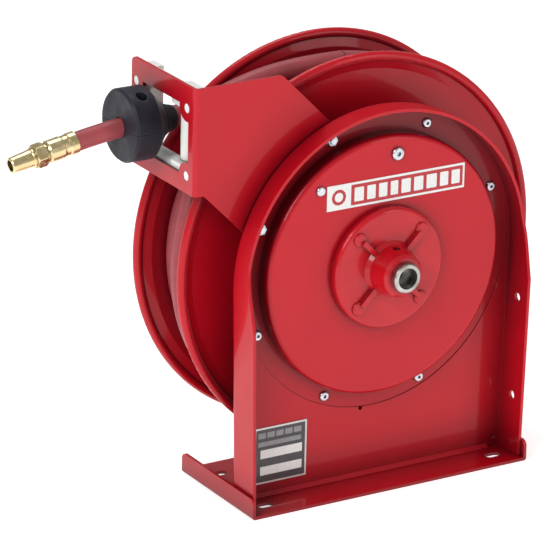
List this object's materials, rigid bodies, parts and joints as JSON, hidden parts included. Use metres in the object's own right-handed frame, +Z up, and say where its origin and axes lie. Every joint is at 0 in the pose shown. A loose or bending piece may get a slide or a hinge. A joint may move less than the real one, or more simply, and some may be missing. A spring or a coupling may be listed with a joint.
{
  "type": "fire hose reel",
  "caption": "Red steel spring-rewind hose reel on a flat base: fixed hollow inlet shaft, flanged drum, side roller guide with rubber bumper and short hose end with brass fitting.",
  "frame": {"origin": "centre of the base plate's flat underside", "axes": "+X along the base's width, away from the hose guide; +Y from the inlet side to the drum side, along the drum axis; +Z up"},
  "size_m": [0.529, 0.18, 0.406],
  "materials": {
    "red_paint": "gloss powder coat",
    "red_casting": "gloss powder coat over cast surface",
    "zinc": "bright zinc plate",
    "machined_steel": "turned and ground",
    "spring_steel": "blued spring steel",
    "bronze": "oil-filled sintered bronze",
    "brass": "machined, slightly dulled",
    "seal_rubber": "smooth black rubber",
    "bumper_rubber": "moulded black rubber",
    "hose_rubber": "smooth red-brown hose cover",
    "white_nylon": "satin white nylon",
    "label_film": "printed film, plain pattern",
    "rating_metal": "printed foil, plain pattern"
  },
  "bodies": {
    "frame": {"support_post": "red_paint", "base_plate": "red_paint", "guide_arm": "red_paint", "post_weld": "red_paint", "hub_casting": "red_casting", "guide_bolts": "zinc", "guide_nuts": "zinc", "spare_hole_screws": "zinc", "case_screw": "zinc", "pawl_pin": "zinc", "pawl_clip": "zinc", "hub_screws": "zinc", "thrust_washer_near": "zinc", "thrust_washer_far": "zinc", "shaft_retaining_ring": "zinc", "shaft_set_screw": "zinc", "roller_pins_level": "zinc", "roller_pins_upright": "zinc", "bumper_screws": "zinc", "bumper_nuts": "zinc", "main_shaft": "machined_steel", "spring_arbor": "machined_steel", "arbor_key": "machined_steel", "pawl_spring": "spring_steel", "hose_ferrule": "brass", "hose_nipple": "brass", "swivel_seals": "seal_rubber", "bumper_upper": "bumper_rubber", "bumper_lower": "bumper_rubber", "hose_run": "hose_rubber", "roller_blocks": "white_nylon", "name_label": "label_film", "rating_plate": "rating_metal"},
    "drum": {"near_flange": "red_paint", "far_flange": "red_paint", "drum_barrel": "red_paint", "hub_near": "machined_steel", "hub_far": "machined_steel", "bush_near": "bronze", "bush_far": "bronze", "hub_rivets_near": "zinc", "hub_rivets_far": "zinc", "swivel_body": "brass", "outlet_riser": "machined_steel", "spring_divider": "machined_steel", "power_spring": "spring_steel", "hose_winding": "hose_rubber", "ratchet_ring": "machined_steel"},
    "pawl": {"pawl": "machined_steel"},
    "roller_top": {"roller_top": "white_nylon"},
    "roller_bottom": {"roller_bottom": "white_nylon"},
    "roller_near": {"roller_near": "white_nylon"},
    "roller_far": {"roller_far": "white_nylon"}
  },
  "joints": [
    {"name": "drum_spin", "type": "hinge", "parent": "frame", "child": "drum", "pos_m": [0, 0.05, 0.214], "axis": [0, 1, 0], "range_deg": [-7200, 0], "stiffness_Nm_per_rad": 0.03, "springref_deg": 1080.03},
    {"name": "pawl_swing", "type": "hinge", "parent": "frame", "child": "pawl", "pos_m": [-0.0708, 0.00825, 0.2974], "axis": [0, 1, 0], "range_deg": [0, 10], "stiffness_Nm_per_rad": 1, "springref_deg": -5.73},
    {"name": "roller_top_spin", "type": "hinge", "parent": "frame", "child": "roller_top", "pos_m": [-0.1792, 0.05, 0.39], "axis": [0, 1, 0], "continuous": true},
    {"name": "roller_bottom_spin", "type": "hinge", "parent": "frame", "child": "roller_bottom", "pos_m": [-0.1792, 0.05, 0.318], "axis": [0, 1, 0], "continuous": true},
    {"name": "roller_near_spin", "type": "hinge", "parent": "frame", "child": "roller_near", "pos_m": [-0.1738, 0.016, 0.354], "axis": [0, 0, 1], "continuous": true},
    {"name": "roller_far_spin", "type": "hinge", "parent": "frame", "child": "roller_far", "pos_m": [-0.1738, 0.084, 0.354], "axis": [0, 0, 1], "continuous": true}
  ]
}
